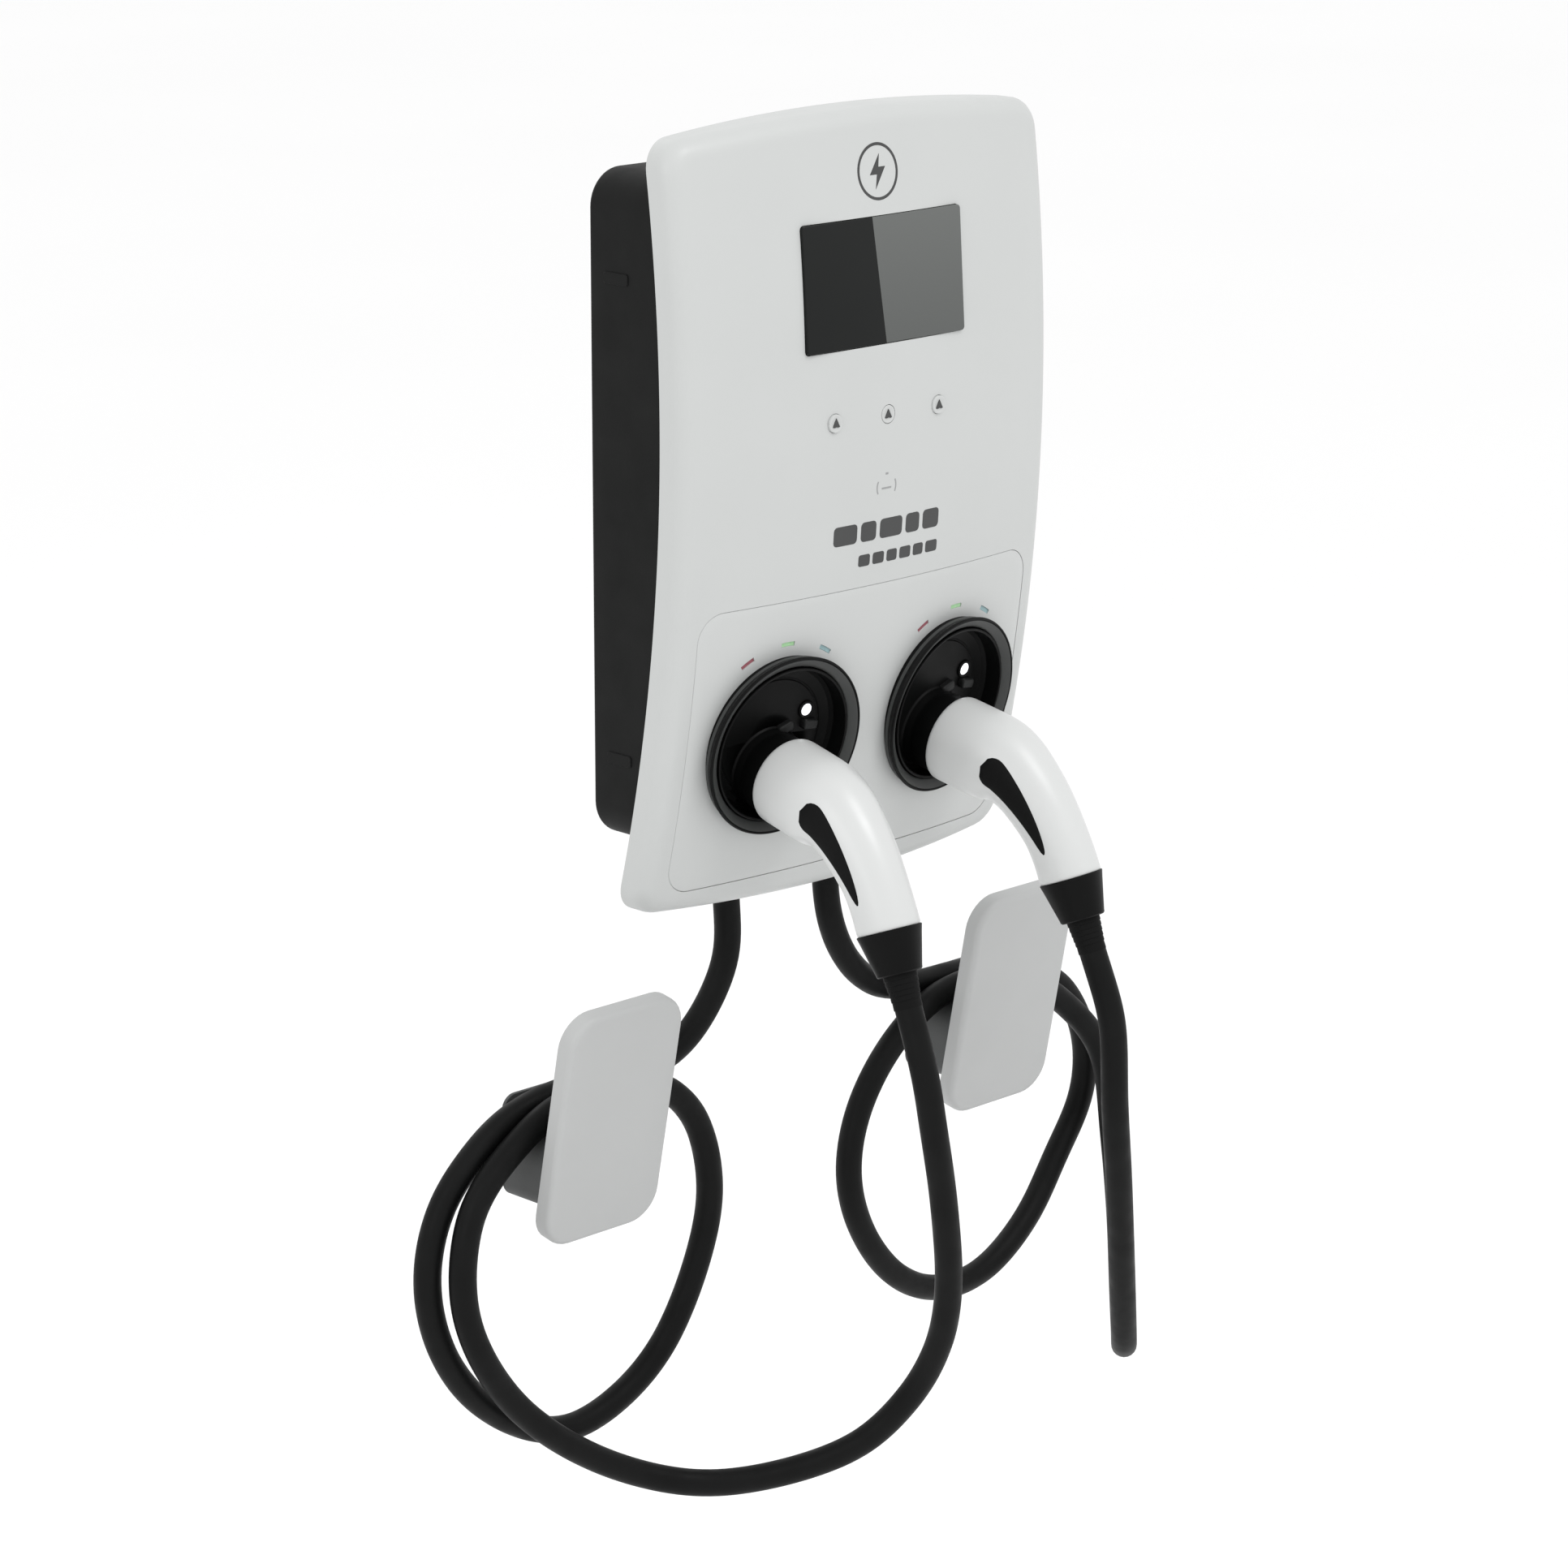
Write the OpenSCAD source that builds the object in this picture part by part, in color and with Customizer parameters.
// Wall-mounted twin charging station for electric vehicles.
// The origin is the centre of the four wall holes, on the wall plane.
// X runs to the right, Z up, and the front faces -Y.

/* [Cover] */
// Width of the light front cover
cover_w = 392; // [388:1:396]
// Height of the cover's crown above the wall holes
cover_top = 304; // [300:1:308]
// Depth of the cover's lowest point below the wall holes
cover_low = 294; // [290:1:298]
// Distance from the wall to the most forward point of the cover
cover_front = 121.5; // [119:0.5:124]
// Width of the cover's side faces
rim_w = 41; // [38:1:44]
// Wall thickness of the cover
cover_wall = 3; // [2.5:0.5:3.5]

/* [Housing] */
// Width of the rear housing
housing_w = 380; // [376:1:382]
// Height of the housing's top above the wall holes
housing_top = 267; // [260:1:270]
// Depth of the housing's underside below the wall holes
housing_low = 235; // [232:1:240]

/* [Display and buttons] */
// Width of the display glass
glass_w = 166.6; // [160:0.2:168]
// Height of the display glass
glass_h = 94.4; // [90:0.2:96]
// Height of the display's centre above the wall holes
glass_z = 178.5; // [176:0.5:181]
// Distance between neighbouring buttons
button_pitch = 55; // [50:1:58]
// Diameter of a button cap
button_d = 14; // [12:1:15]

/* [Holsters and guns] */
// Distance of each holster from the middle of the cover
holster_x = 90.5; // [89:0.5:92]
// Outer diameter of the bezel ring round a holster
ring_d = 144; // [142:1:146]
// Downward tilt of the holsters
holster_tilt = 12; // [11:0.5:13]
// Outer diameter of the gun's nose
nose_d = 62.4; // [61:0.2:62.4]
// Diameter of the gun's barrel behind the nose
barrel_d = 69; // [67:1:70]

/* [Cables and hooks] */
// Diameter of the charging cables
cable_d = 21; // [19:0.5:21.5]
// Width of a hook's front plate
hook_w = 114; // [110:1:118]
// Height of a hook's front plate
hook_h = 190; // [184:1:194]
// Middle of the left hook, to the left of the wall holes
hook_left_x = -239; // [-245:1:-235]
// Middle of the right hook, to the right of the wall holes
hook_right_x = 197; // [192:1:205]

/* [Hidden] */

big_fn = 720;
part_fn = 96;
eps = 0.5;

// The cover bends about a level axis behind the wall, and also bulges in plan.
bow_r = 1422;
bow_z = 84;
bow_y = bow_r - cover_front;
plan_r = 1150;
plan_c = bow_r - plan_r;
edge_r = 12;
rim_back = bow_r - rim_w;
flange_in = rim_back + 2;
flange_out = flange_in + 4;
corner_r = 24;
top_drop = 11.5;
low_rise = 7.5;
side_gap = 0.7;

space_half = housing_w / 2 + side_gap;
space_low = -265;
space_high = 273;
neck_half = 168;
neck_low = -281;
neck_high = 286;
flange_half = 170;
flange_low = -262;
flange_high = 271;
tab_high = 280.5;
gasket_t = 2.5;
gasket_w = 4;
gasket_half = 169;
gasket_low = -258;
gasket_high = 266;

// How far a bowed surface of radius r stands in front of the wall, at the height z.
function bow_front(r, z) = sqrt(r * r - pow(z - bow_z, 2)) - bow_y;
function cover_face(x, z) = bow_front(bow_r - plan_r + sqrt(plan_r * plan_r - x * x), z);

panel_half = 176;
panel_top = -51.5;
panel_low = -272;
panel_r = 22;
panel_gap = 0.5;

holster_z = -164;
ring_front = 106;
holster_turn = 4.5;
ring_hole_r = 66.8;
ring_in_r = 62;
ring_foot_r = 68;
cup_r = 60;
cup_floor = 20;
gun_drop = 25;
socket_depth = 62;
guide_r = 77.5;
guide_w = 4;
guide_angles = [-29, 0, 29];
guide_sweep = 9;

barrel_end = 50;
first_bend_r = 50;
first_bend = 28;
second_bend_r = 180;
second_bend = 28;
first_len = first_bend_r * first_bend * PI / 180;
gun_len = barrel_end + first_len + second_bend_r * second_bend * PI / 180;
collar_r = 24.8;
collar_end_r = 17;
collar_len = 33;
boot_len = 23;
gun_wall = 3;
nose_wall = 3.4;
grip_gap = 0.1;
gun_sides = 32;
// Radius of the gun's shell at each distance along its axis.
gun_marks = [[6, barrel_d / 2], [44, barrel_d / 2], [52, 33.9], [58, 32.9], [64, 31.7],
    [70, 30.6], [76, 29.8], [86, 28.8], [96, 27.9], [108, 26.7], [120, 25.6], [130, 24.8],
    [141, 24.3], [152, 24.1], [gun_len, 24]];

button_z = 78;
button_travel = 1.4;

gland_x = [-68, 38, 144];
gland_y = -23.5;
gland_drop = 27;

bolt_x = 130;
bolt_z = 160;
bolt_r = 4.5;

hook_z = -432;
hook_front = 77;
hook_tilt = 11;
plate_t = 14;
plate_wall = 3;
arm_w = 92;
arm_top = -436.5;
arm_low = -498;
arm_r = 30;
base_top = -418;
base_t = 2.5;
hook_bolt_z = 25;

// Route of the left cable, from its gland over the left hook, once round and up to the gun.
left_route = [[-68, -23.5, -262.6], [-68, -17, -288], [-67, -17, -350], [-89, -16, -390],
    [-117, -15, -414], [-158, -14, -425], [-200, -13.8, -423.5], [-250, -13.8, -423],
    [-288, -13.3, -431], [-315, -13, -445], [-357, -13, -485], [-374, -15, -537], [-362, -17, -597],
    [-321, -19, -652], [-251, -22, -690], [-198, -25, -682], [-145, -29, -643], [-101, -32, -545],
    [-112, -34, -478], [-134, -34, -447], [-163, -35, -429], [-200, -35, -422], [-240, -35, -421.5],
    [-271, -34.6, -428], [-300, -33.4, -445], [-328, -33.4, -466], [-348, -35, -490],
    [-361, -40, -540], [-352, -43, -586], [-309, -48, -652], [-225, -66, -716], [-160, -106, -735],
    [-87, -175, -707], [-58, -205, -667], [-51, -230, -619], [-58, -247, -568], [-80, -262, -487],
    [-98, -267, -420], [-102.9, -263.4, -382], [-101.3, -243.5, -332.4]];

// Route of the right cable, from its gland over the right hook, once round and up to the gun.
right_route = [[38, -23.5, -262.6], [40, -17, -288], [42, -20, -341], [64, -19, -383],
    [103, -16, -413], [150, -14, -422], [197, -13.8, -423.3], [238, -13.8, -427.5],
    [285, -13, -440], [325, -14, -464], [352, -15, -512], [351, -15, -562], [316, -17, -611],
    [280, -20, -653], [229, -24, -682], [186, -27, -687], [142, -30, -677], [98, -33, -648],
    [62, -35, -599], [49, -36, -552], [59, -36, -506], [92, -36, -462], [145, -35, -430],
    [197, -35, -423.3], [229, -34.8, -425.5], [258, -33.5, -438], [298, -34, -463],
    [341, -44, -515], [340, -60, -588], [325, -82, -649], [298, -110, -699], [266, -141, -721],
    [231, -172, -712], [203, -195, -673], [134, -247, -525], [110, -262, -449], [103.5, -266, -405],
    [102.9, -263.4, -382], [101.3, -243.5, -332.4]];

// Point on a smooth curve through four neighbouring route points, for t from 0 to 1.
function curve_point(a, b, c, d, t) = b + 0.5 * t * ((c - a)
    + t * ((2 * a - 5 * b + 4 * c - d) + t * (3 * (b - c) + d - a)));
function route_at(p, s) = let (n = len(p) - 1, i = min(floor(s), n - 1))
    curve_point(p[max(i - 1, 0)], p[i], p[i + 1], p[min(i + 2, n)], s - i);
function unit(v) = v / norm(v);
function route_dir(p, s) = let (n = len(p) - 1)
    unit(route_at(p, min(s + 0.05, n)) - route_at(p, max(s - 0.05, 0)));

// Parts of the whole that repeat ------------------------------------------

// Turns a profile of (distance from the bow axis, x) about the bow axis, by the given angles.
module bow_turn(from, sweep) {
    translate([0, bow_y, bow_z]) rotate([-90, 0, -90]) rotate([0, 0, from])
        rotate_extrude(angle = sweep, $fn = big_fn) children();
}

// A profile bent like the cover, reaching past both its ends.
module bowed() {
    bow_turn(-10, 27) children();
}

// A profile bent like the cover between two heights.
module bowed_between(low, high) {
    from = asin((bow_z - high) / bow_r);
    bow_turn(from, asin((bow_z - low) / bow_r) - from) children();
}

// Section through the cover in plan: bulged front, round vertical edges, flat back.
module plan_profile(inset, back) {
    half = cover_w / 2;
    reach = half - edge_r;
    turn = asin(reach / (plan_r - edge_r));
    edge_c = plan_c + sqrt(pow(plan_r - edge_r, 2) - reach * reach);
    far = 1400;
    difference() {
        union() {
            intersection() {
                translate([plan_c, 0]) circle(r = plan_r - inset, $fn = big_fn);
                polygon([[plan_c, 0], [plan_c + far * cos(turn), far * sin(turn)],
                    [plan_c + far * cos(turn), -far * sin(turn)]]);
            }
            for (side = [-1, 1]) translate([edge_c, side * reach])
                circle(r = edge_r - inset, $fn = part_fn);
            translate([back - 1, inset - half])
                square([edge_c - back + 1, 2 * (half - inset)]);
        }
        translate([0, -cover_w]) square([back, 2 * cover_w]);
    }
}

// One end of the cover's outline: an arch with tangent round corners, open below.
module arch(half, crown, drop, r) {
    big = (half * half + drop * drop) / (2 * drop);
    middle = crown - big;
    reach = half - r;
    corner = middle + sqrt(pow(big - r, 2) - reach * reach);
    slope = (corner - middle) / reach;
    far = 2 * reach;
    intersection() {
        translate([0, middle]) circle(r = big, $fn = big_fn * 2);
        polygon([[-far, middle + far * slope], [-reach, corner], [-reach, -600],
            [reach, -600], [reach, corner], [far, middle + far * slope]]);
    }
    for (side = [-1, 1]) translate([side * reach, corner]) circle(r = r, $fn = part_fn);
    translate([-half, -600]) square([2 * half, 600 + corner]);
}

// Outline of the cover seen from the front, smaller by inset all round.
module outline(inset) {
    half = cover_w / 2 - inset;
    r = corner_r - inset;
    intersection() {
        arch(half, cover_top - inset, top_drop, r);
        mirror([0, 1]) arch(half, cover_low - inset, low_rise, r);
    }
}

// Pushes a flat outline straight forward from the wall.
module forward(from, to) {
    translate([0, -from, 0]) rotate([90, 0, 0]) linear_extrude(height = to - from) children();
}

module rounded_box(w, low, high, r) {
    for (side = [-1, 1]) {
        translate([side * (w / 2 - r), low + r]) circle(r = r, $fn = part_fn);
        translate([side * (w / 2 - r), high - r]) circle(r = r, $fn = part_fn);
    }
    translate([-w / 2, low + r]) square([w, high - low - 2 * r]);
    translate([r - w / 2, low]) square([w - 2 * r, high - low]);
}

// A solid with the cover's outside shape, smaller by inset, from a back radius forward.
module cover_block(inset, back) {
    intersection() {
        bowed() plan_profile(inset, back);
        forward(0, 150) outline(inset);
    }
}

// The space of a holster: +Z out of the mouth, +Y up its face.
module at_holster(side) {
    translate([side * holster_x, -ring_front, holster_z])
        rotate([90 + holster_tilt, 0, side * holster_turn]) children();
}

// The space of the display glass: +Z out of its front face.
module at_glass() {
    translate([0, -117.4, glass_z]) rotate([86.2, 0, 0]) children();
}

module panel_outline(grow) {
    rounded_box(2 * (panel_half + grow), panel_low - grow, panel_top + grow, panel_r + grow);
}

module tube(r_out, r_in, from, to) {
    translate([0, 0, from]) difference() {
        cylinder(r = r_out, h = to - from, $fn = part_fn);
        translate([0, 0, -eps]) cylinder(r = r_in, h = to - from + 2 * eps, $fn = part_fn);
    }
}

// Wall and housing --------------------------------------------------------

module wall_bracket() {
    color("silver") forward(0, 3) difference() {
        rounded_box(300, -190, 190, 8);
        for (x = [-bolt_x, bolt_x]) for (z = [-bolt_z, bolt_z])
            translate([x, z]) circle(r = bolt_r, $fn = part_fn);
        rounded_box(180, -110, 110, 12);
    }
}

module housing_space(inset, from, to) {
    forward(from, to) rounded_box(housing_w - 2 * inset, inset - housing_low,
        housing_top - inset, 28 - inset);
}

module rear_housing() {
    color([0.13, 0.13, 0.13]) difference() {
        union() {
            intersection() {
                housing_space(0, 0, 120);
                bowed() translate([500, -cover_w]) square([flange_out - 500, 2 * cover_w]);
            }
            intersection() {
                bowed() translate([flange_in, -cover_w]) square([flange_out - flange_in, 2 * cover_w]);
                forward(0, 150) {
                    rounded_box(2 * flange_half, flange_low, flange_high, 20);
                    rounded_box(160, flange_high - 30, tab_high, 6);
                }
            }
        }
        housing_space(4, 8.2, 130);
        forward(-eps, 3.2) rounded_box(301, -190.5, 190.5, 8);
        for (x = [-bolt_x, bolt_x]) for (z = [-bolt_z, bolt_z]) forward_hole(x, z, 8, 0, 10);
        for (x = gland_x) translate([x, gland_y, -housing_low - 5])
            cylinder(r = 12.6, h = 20, $fn = part_fn);
        for (p = screw_places()) forward_hole(p[0], p[1], 1.9, 0, 120);
    }
}

// A bent slab between two radii about the bow axis, and between two heights.
module bow_slab(r_in, r_out, half, low, high) {
    bowed_between(low, high) translate([r_in, -half]) square([r_out - r_in, 2 * half]);
}

module forward_hole(x, z, r, from, to) {
    translate([x, -from, z]) rotate([90, 0, 0]) cylinder(r = r, h = to - from, $fn = part_fn);
}

function screw_places() = [[-60, 272], [60, 272]];

module housing_gasket() {
    color([0.06, 0.06, 0.06]) difference() {
        bow_slab(flange_out, flange_out + gasket_t, gasket_half, gasket_low, gasket_high);
        bow_slab(flange_out - 1, flange_out + gasket_t + 1, gasket_half - gasket_w,
            gasket_low + gasket_w, gasket_high - gasket_w);
    }
}

// The hollow inside the cover, with narrower ends under its crown and its chin.
module cover_space() {
    bowed_between(space_low, space_high) intersection() {
        translate([plan_c, 0]) circle(r = plan_r - cover_wall, $fn = big_fn);
        translate([rim_back - 5, -space_half]) square([60, 2 * space_half]);
    }
    bow_slab(rim_back - 5, rim_back + 25, neck_half, neck_low, neck_high);
}

module front_cover() {
    color([0.86, 0.87, 0.87]) difference() {
        union() {
            difference() {
                cover_block(0, rim_back);
                cover_space();
            }
            for (p = screw_places()) forward_hole(p[0], p[1], 5,
                bow_front(flange_out, p[1]) + 3.2, cover_face(p[0], p[1]) - 1.5);
        }
        forward(30, 150) panel_outline(0);
        at_glass() translate([-glass_w / 2 - 0.7, -glass_h / 2 - 0.7, -15])
            cube([glass_w + 1.4, glass_h + 1.4, 30]);
        for (x = [-button_pitch, 0, button_pitch])
            forward_hole(x, button_z, button_d / 2 + 0.3, 100, 130);
        for (p = screw_places())
            forward_hole(p[0], p[1], 1.7, 0, bow_front(flange_out, p[1]) + 20);
    }
}

module lower_panel() {
    color([0.84, 0.85, 0.85]) difference() {
        intersection() {
            difference() {
                bowed() plan_profile(0, rim_back);
                bowed() plan_profile(cover_wall, rim_back - 5);
            }
            forward(30, 150) panel_outline(-panel_gap);
        }
        for (side = [-1, 1]) at_holster(side) {
            translate([0, 0, -60]) cylinder(r = ring_hole_r, h = 90, $fn = part_fn);
            guide_slots(0.2, -40, 10);
        }
    }
}

// Curved slots above a holster, wider by grow on each side.
module guide_slots(grow, from, to) {
    sweep = guide_sweep + 2 * grow;
    for (a = guide_angles) rotate([0, 0, 90 - a - sweep / 2]) translate([0, 0, from])
        rotate_extrude(angle = sweep, $fn = big_fn)
            translate([guide_r - guide_w / 2 - grow, 0])
                square([guide_w + 2 * grow, to - from]);
}

module light_guides(side) {
    color([0.9, 0.95, 0.93]) difference() {
        intersection() {
            at_holster(side) guide_slots(0, -30, 5);
            cover_block(-0.3, rim_back);
        }
        cover_block(cover_wall + 5, rim_back - 5);
    }
}

// Display, buttons and reader ---------------------------------------------

module display_glass() {
    color([0.1, 0.1, 0.11]) at_glass() translate([-glass_w / 2, -glass_h / 2, -3])
        cube([glass_w, glass_h, 3]);
}

module display_frame() {
    color([0.08, 0.08, 0.08]) at_glass() difference() {
        union() {
            translate([-90, -54, -8.5]) cube([180, 108, 2]);
            translate([-glass_w / 2, -glass_h / 2, -8.5]) cube([glass_w, glass_h, 5.4]);
        }
        translate([-78, -43, -10]) cube([156, 86, 12]);
    }
}

module display_module() {
    color([0.2, 0.22, 0.24]) at_glass() translate([-77.5, -42.5, -14])
        cube([155, 85, 10.9]);
}

module button_cap(x) {
    color([0.82, 0.83, 0.83]) {
        forward_hole(x, button_z, button_d / 2, 113.8, 121.9);
        forward_hole(x, button_z, button_d / 2 + 1.6, 113.8, 115.3);
    }
}

module button_board() {
    color("darkgreen") {
        forward(108.4, 110) rounded_box(150, 68, 88, 3);
        for (x = [-button_pitch, 0, button_pitch]) forward_hole(x, button_z, 3, 110, 112);
    }
}

module rfid_reader() {
    color("darkgreen") {
        forward(108.5, 110) rounded_box(64, -6, 52, 3);
        translate([-12, -108.5, 10]) cube([24, 5, 24]);
    }
}

// Holsters ----------------------------------------------------------------

module holster_cup(side) {
    color([0.07, 0.07, 0.07]) at_holster(side) difference() {
        union() {
            tube(ring_in_r - 0.2, cup_r, -cup_floor - 3, -3);
            translate([0, 0, -cup_floor - 3]) cylinder(r = cup_r + 1, h = 3, $fn = part_fn);
            translate([0, -gun_drop, -socket_depth - 3])
                cylinder(r = nose_d / 2 + 3.4, h = socket_depth - cup_floor + 3, $fn = part_fn);
        }
        translate([0, -gun_drop, -socket_depth])
            cylinder(r = nose_d / 2 + 0.4, h = socket_depth, $fn = part_fn);
        lamp_hole(0.2);
    }
}

module lamp_hole(grow) {
    translate([32, 20, -cup_floor - 4]) cylinder(r = 5 + grow, h = 12, $fn = part_fn);
}

module lamp(side) {
    color("white") at_holster(side) difference() {
        lamp_hole(0);
        translate([0, 0, -cup_floor + 1.5]) cylinder(r = cup_r, h = 20, $fn = part_fn);
    }
}

module bezel_ring(side) {
    color([0.16, 0.17, 0.17]) union() {
        difference() {
            at_holster(side) rotate_extrude($fn = big_fn) polygon([[64, -5], [ring_d / 2 - 2, 0],
                [ring_d / 2, -1.5], [ring_foot_r, -10], [ring_foot_r, -24], [64, -24]]);
            cover_block(0, rim_back - 5);
        }
        at_holster(side) tube(ring_hole_r - 0.3, ring_in_r, -34, -5);
    }
}

// Underside ---------------------------------------------------------------

module gland(x, plugged) {
    color([0.09, 0.09, 0.09]) translate([x, gland_y, -housing_low]) difference() {
        union() {
            translate([0, 0, -4]) cylinder(r = 15, h = 4, $fn = 6);
            translate([0, 0, -4]) cylinder(r = 12.4, h = 16, $fn = part_fn);
            translate([0, 0, -gland_drop]) cylinder(r = 13.6, h = gland_drop - 4, $fn = part_fn);
            translate([0, 0, 4.2]) cylinder(r = 15, h = 5, $fn = 6);
        }
        if (!plugged) translate([0, 0, -gland_drop - eps])
            cylinder(r = cable_d / 2 + 0.4, h = 60, $fn = part_fn);
    }
}

module din_rails() {
    color("silver") for (z = [185, 50]) difference() {
        forward(8.4, 15.9) translate([-150, z - 17.5]) square([300, 35]);
        forward(9.4, 20) translate([-160, z - 12.5]) square([320, 25]);
        forward(8, 14.9) for (s = [-1, 1])
            translate([-160, z + s * 16.6 - (s > 0 ? 0.1 : 3)]) square([320, 3.1]);
    }
}

// A module clipped to a rail, with a lower front part and round terminal openings.
module rail_device(x, w, z, depth) {
    difference() {
        union() {
            forward(16, depth - 12) translate([x, z - 43]) square([w, 86]);
            forward(16, depth) translate([x, z - 22.5]) square([w, 45]);
        }
        for (i = [0.5:1:floor(w / 18)]) for (s = [-1, 1])
            forward_hole(x + i * w / floor(w / 18), z + s * 34, 3, depth - 20, depth);
    }
}

module contactor_left() {
    color([0.25, 0.26, 0.27]) rail_device(-130, 72, 185, 82);
}

module contactor_right() {
    color([0.25, 0.26, 0.27]) rail_device(-50, 72, 185, 82);
}

module energy_meter() {
    color([0.8, 0.8, 0.78]) rail_device(30, 72, 185, 80);
}

module terminal_block() {
    color([0.7, 0.7, 0.68]) rail_device(-140, 90, 50, 66);
}

module power_supply() {
    color([0.3, 0.3, 0.32]) rail_device(-40, 54, 50, 74);
}

module controller_unit() {
    color([0.15, 0.25, 0.2]) rail_device(24, 108, 50, 74);
}

module cover_screws() {
    color("silver") for (p = screw_places()) {
        back = bow_front(flange_in, p[1]);
        forward_hole(p[0], p[1], 3.5, back - 3.2, back - 0.6);
        forward_hole(p[0], p[1], 1.65, back - 1, back + 19);
    }
}

// Guns --------------------------------------------------------------------

module gun_space(side) {
    at_holster(side) translate([0, -gun_drop, 0]) children();
}

// Bend of the gun's axis at a distance along it: straight, then a short and a long bend.
function gun_bend(along) = along < barrel_end ? 0
    : along < barrel_end + first_len ? (along - barrel_end) / first_bend_r * 180 / PI
    : first_bend + (along - barrel_end - first_len) / second_bend_r * 180 / PI;
function bend_step(r, from, to) = r * [0, cos(to) - cos(from), sin(to) - sin(from)];
function gun_middle(along) = let (a = gun_bend(along), b = min(a, first_bend))
    [0, 0, min(along, barrel_end)] + bend_step(first_bend_r, 0, b) + bend_step(second_bend_r, b, a);

// Point round the gun's axis at an angle from +X; a ring is [distance along, radius].
function gun_point(ring, angle) = let (a = gun_bend(ring[0])) gun_middle(ring[0])
    + ring[1] * [cos(angle), sin(angle) * cos(a), sin(angle) * sin(a)];
function gun_rings(grow) = [for (mark = gun_marks) mark + [0, grow]];

// Moves to the end of the bent handle, +Z along it towards the cable.
module at_handle_end() {
    translate(gun_middle(gun_len)) rotate([gun_bend(gun_len), 0, 0]) children();
}

// Walls between neighbouring loops of the same number of points.
function loop_walls(loops, n) = [for (i = [0:loops - 2]) for (k = [0:n - 1])
    let (j = (k + 1) % n) each [[i * n + k, i * n + j, (i + 1) * n + j],
        [i * n + k, (i + 1) * n + j, (i + 1) * n + k]]];

module gun_shell(side) {
    inside = gun_rings(-gun_wall);
    front = [[6, 20], [9, 20], [9, inside[0][1]], for (i = [1:len(inside) - 1]) inside[i]];
    back = [for (i = [len(front) - 1:-1:0]) front[i]];
    rings = concat(gun_rings(0), back, [gun_rings(0)[0]]);
    points = [for (i = [0:len(rings) - 2]) for (k = [0:gun_sides - 1])
        gun_point(rings[i], 360 * k / gun_sides)];
    count = len(rings) - 1;
    walls = [for (f = loop_walls(len(rings), gun_sides)) [for (p = f) p % (count * gun_sides)]];
    color([0.9, 0.91, 0.91]) gun_space(side) polyhedron(points = points, faces = walls);
}

// The two rubber pads on the sides of the bend, lying on the shell.
module gun_grip(side) {
    rings = [for (ring = gun_rings(0)) if (ring[0] > 60 && ring[0] < 145) ring];
    step = 360 / gun_sides;
    columns = 7;
    n = 2 * columns;
    last = (len(rings) - 1) * n;
    caps = [for (k = [0:columns - 2]) each [[k + 1, k, n - 1 - k], [k + 1, n - 1 - k, n - 2 - k],
        [last + k, last + k + 1, last + n - 1 - k],
        [last + k + 1, last + n - 2 - k, last + n - 1 - k]]];
    for (turn = [0, 180]) {
        arc = [for (k = [-3:3]) turn + k * step];
        points = [for (ring = rings) each [for (k = [0:n - 1]) k < columns
            ? gun_point(ring + [0, 1], arc[k]) : gun_point(ring + [0, grip_gap], arc[n - 1 - k])]];
        color([0.05, 0.05, 0.05]) gun_space(side) polyhedron(points = points,
            faces = concat(caps, loop_walls(len(rings), n)));
    }
}

module gun_nose(side) {
    color([0.06, 0.06, 0.06]) gun_space(side) tube(nose_d / 2, nose_d / 2 - nose_wall, -50, 6);
}

// The block inside the nose that holds the contacts.
module gun_insert(side) {
    color([0.06, 0.06, 0.06]) gun_space(side) difference() {
        union() {
            translate([0, 0, -12]) cylinder(r = nose_d / 2 - nose_wall - 0.2, h = 17, $fn = part_fn);
            contact_places(5.6, -46, 35);
        }
        contact_places(2.95, -60, 62.2);
    }
}

module contact_places(r, from, h) {
    for (p = [[0, 0], [-14, 1], [14, 1], [-8, 14], [8, 14], [-8, -13], [8, -13]])
        translate([p[0], p[1], from]) cylinder(r = r, h = h, $fn = part_fn);
}

module gun_contacts(side) {
    color("silver") gun_space(side) difference() {
        contact_places(2.9, -44, 46);
        contact_places(1.9, -45, 30);
    }
}

module gun_collar(side) {
    color([0.05, 0.05, 0.05]) gun_space(side) at_handle_end()
        cylinder(r1 = collar_r, r2 = collar_end_r, h = collar_len, $fn = part_fn);
}

module gun_boot(side) {
    color([0.05, 0.05, 0.05]) gun_space(side) at_handle_end() translate([0, 0, collar_len])
        cylinder(r1 = cable_d / 2 + 2.4, r2 = cable_d / 2 + 0.3, h = boot_len, $fn = part_fn);
}

// Hooks -------------------------------------------------------------------

// The space of a hook's front plate: +Z out of its front face, +Y up it.
module at_plate(x) {
    translate([x, -hook_front, hook_z]) rotate([90 + hook_tilt, 0, 0]) children();
}

module hook_base(x) {
    color([0.28, 0.29, 0.29]) translate([x, 0, 0]) difference() {
        forward(0, base_t) rounded_box(arm_w, arm_low, base_top, 12);
        for (s = [-1, 1])
            forward_hole(0, (base_top + arm_low) / 2 + s * hook_bolt_z, 2.75, -eps, 5);
    }
}

// The arm's outline: a saddle with large round shoulders on a block with small corners.
module arm_outline(inset) {
    rounded_box(arm_w - 2 * inset, arm_low + inset, arm_top - inset, arm_r - inset);
    rounded_box(arm_w - 2 * inset, arm_low + inset, arm_low + 36 - inset, 12 - inset);
}

module hook_arm(x) {
    color([0.28, 0.29, 0.29]) difference() {
        translate([x, 0, 0]) forward(base_t, 85) difference() {
            arm_outline(0);
            arm_outline(4);
        }
        at_plate(x) translate([-100, -150, -plate_wall - 0.2]) cube([200, 300, 100]);
    }
}

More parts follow.
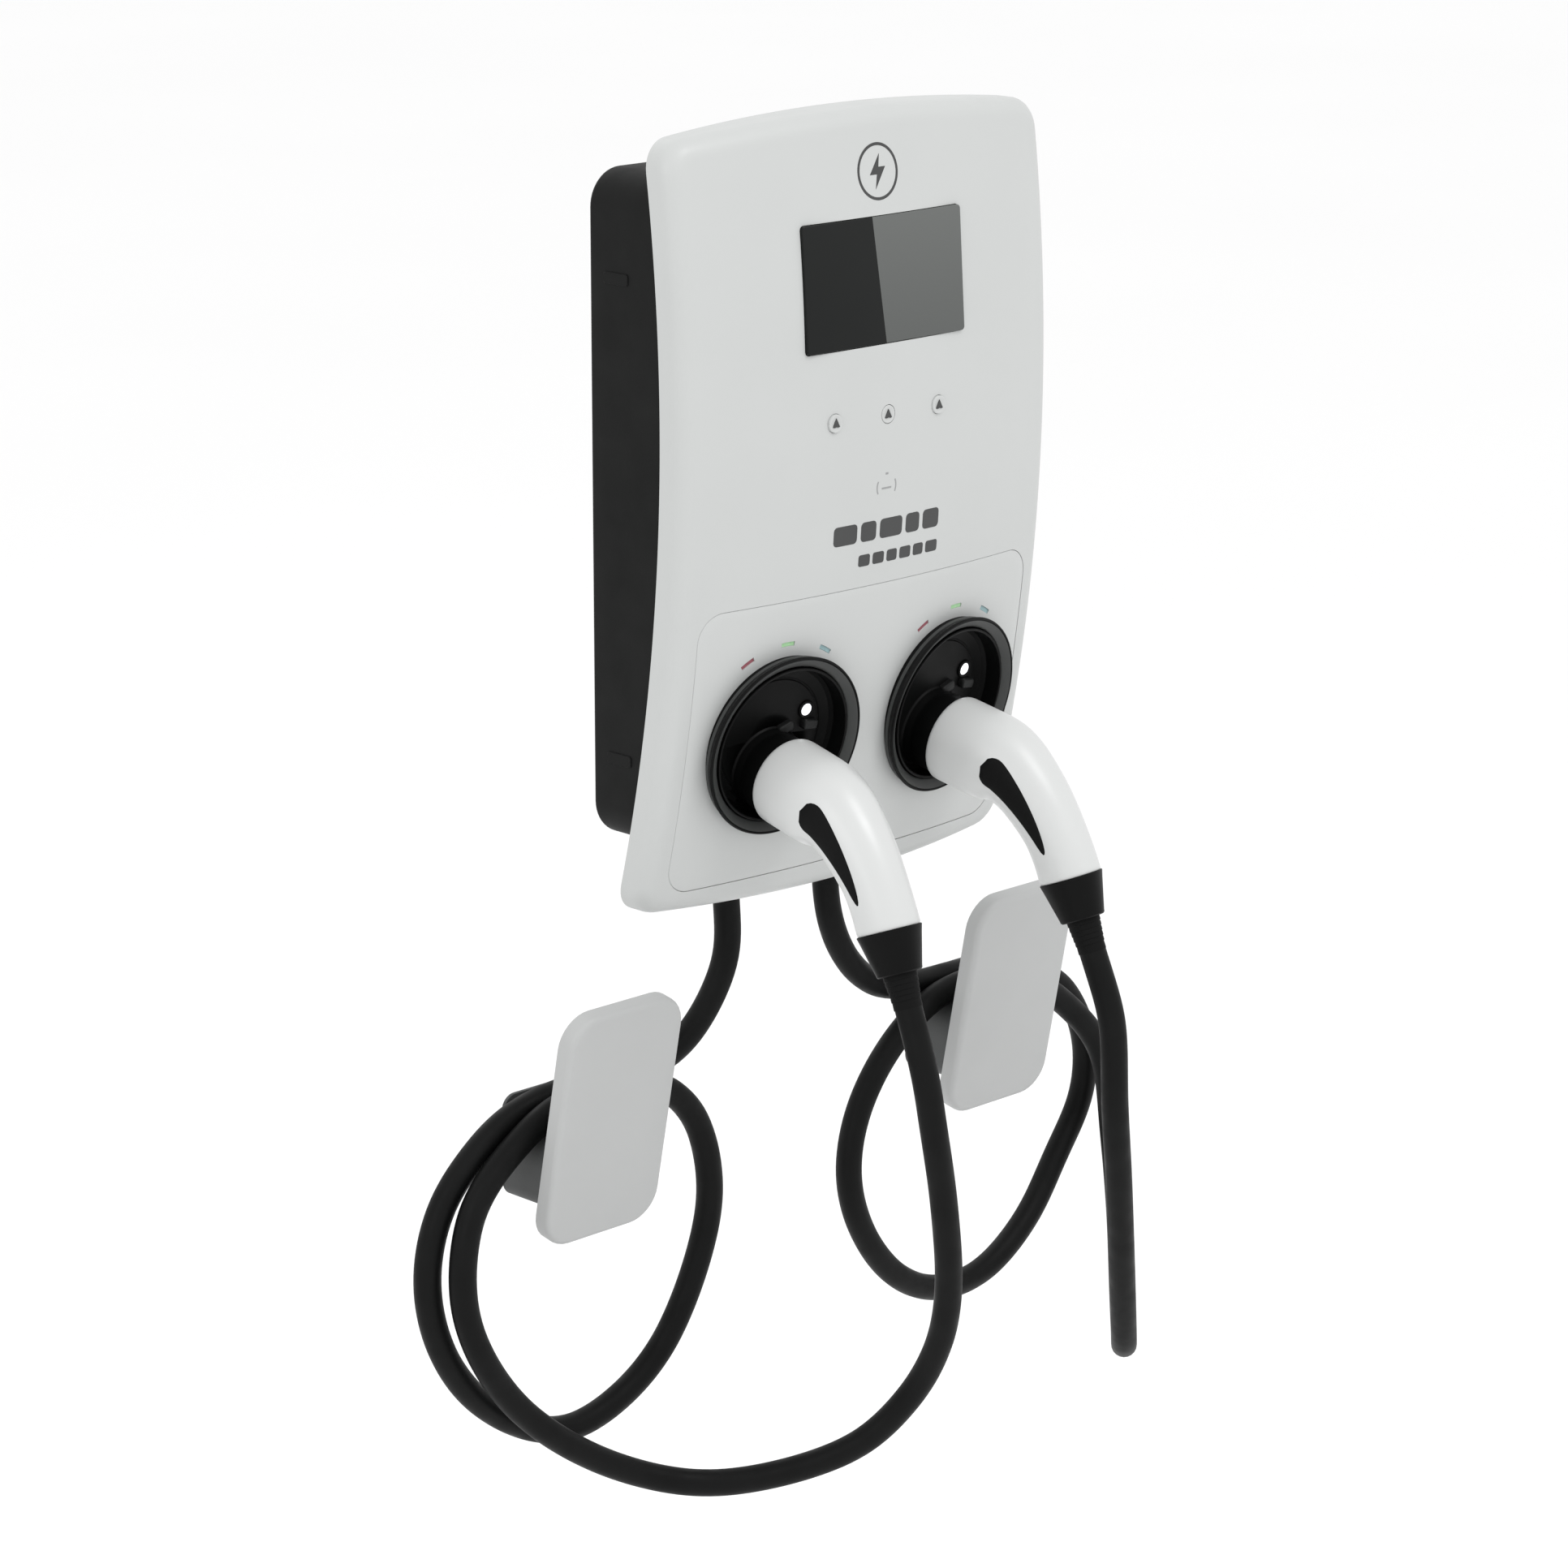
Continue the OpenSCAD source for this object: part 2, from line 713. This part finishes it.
module hook_plate(x) {
    color([0.76, 0.77, 0.77]) at_plate(x) difference() {
        translate([0, 0, -plate_t]) linear_extrude(height = plate_t)
            rounded_box(hook_w, -hook_h / 2, hook_h / 2, 26);
        translate([0, 0, -plate_t - eps]) linear_extrude(height = plate_t - plate_wall + eps)
            rounded_box(hook_w - 2 * plate_wall, plate_wall - hook_h / 2,
                hook_h / 2 - plate_wall, 26 - plate_wall);
    }
}

// Cables ------------------------------------------------------------------

// A round tube swept along a route, with its rings square to it.
module cable(route) {
    sides = 10;
    last = len(route) - 1;
    function ring(s) = let (mid = route_at(route, s), dir = route_dir(route, s),
        across = unit(cross(dir, [0.05, 1, 0.1])), up = cross(across, dir))
        [for (k = [0:sides - 1]) mid + cable_d / 2
            * (cos(360 * k / sides) * across + sin(360 * k / sides) * up)];
    stations = [for (i = [0:last - 1]) i, last];
    points = [for (s = stations) each ring(s)];
    rings = len(stations);
    walls = [for (i = [0:rings - 2]) for (k = [0:sides - 1]) let (n = (k + 1) % sides)
        each [[i * sides + k, i * sides + n, (i + 1) * sides + n],
            [i * sides + k, (i + 1) * sides + n, (i + 1) * sides + k]]];
    start = [for (k = [0:sides - 1]) sides - 1 - k];
    end = [for (k = [0:sides - 1]) (rings - 1) * sides + k];
    color([0.05, 0.05, 0.05]) polyhedron(points = points, faces = [start, each walls, end]);
}

wall_bracket();
rear_housing();
housing_gasket();
front_cover();
lower_panel();
display_glass();
display_frame();
display_module();
button_cap(-button_pitch);  // button_left
button_cap(0);  // button_mid
button_cap(button_pitch);  // button_right
button_board();
rfid_reader();
light_guides(-1);  // light_guides_left
light_guides(1);  // light_guides_right
holster_cup(-1);  // holster_cup_left
holster_cup(1);  // holster_cup_right
bezel_ring(-1);  // bezel_ring_left
bezel_ring(1);  // bezel_ring_right
lamp(-1);  // lamp_left
lamp(1);  // lamp_right
gland(gland_x[0], false);  // cable_gland_left
gland(gland_x[1], false);  // cable_gland_right
gland(gland_x[2], true);  // supply_gland
din_rails();
contactor_left();
contactor_right();
energy_meter();
terminal_block();
power_supply();
controller_unit();
cover_screws();
gun_nose(-1);  // gun_left_nose
gun_insert(-1);  // gun_left_insert
gun_contacts(-1);  // gun_left_contacts
gun_shell(-1);  // gun_left_shell
gun_grip(-1);  // gun_left_grip
gun_collar(-1);  // gun_left_collar
gun_boot(-1);  // gun_left_boot
gun_nose(1);  // gun_right_nose
gun_insert(1);  // gun_right_insert
gun_contacts(1);  // gun_right_contacts
gun_shell(1);  // gun_right_shell
gun_grip(1);  // gun_right_grip
gun_collar(1);  // gun_right_collar
gun_boot(1);  // gun_right_boot
hook_base(hook_left_x);  // hook_left_base
hook_arm(hook_left_x);  // hook_left_arm
hook_plate(hook_left_x);  // hook_left_plate
hook_base(hook_right_x);  // hook_right_base
hook_arm(hook_right_x);  // hook_right_arm
hook_plate(hook_right_x);  // hook_right_plate
cable(left_route);  // cable_left
cable(right_route);  // cable_right
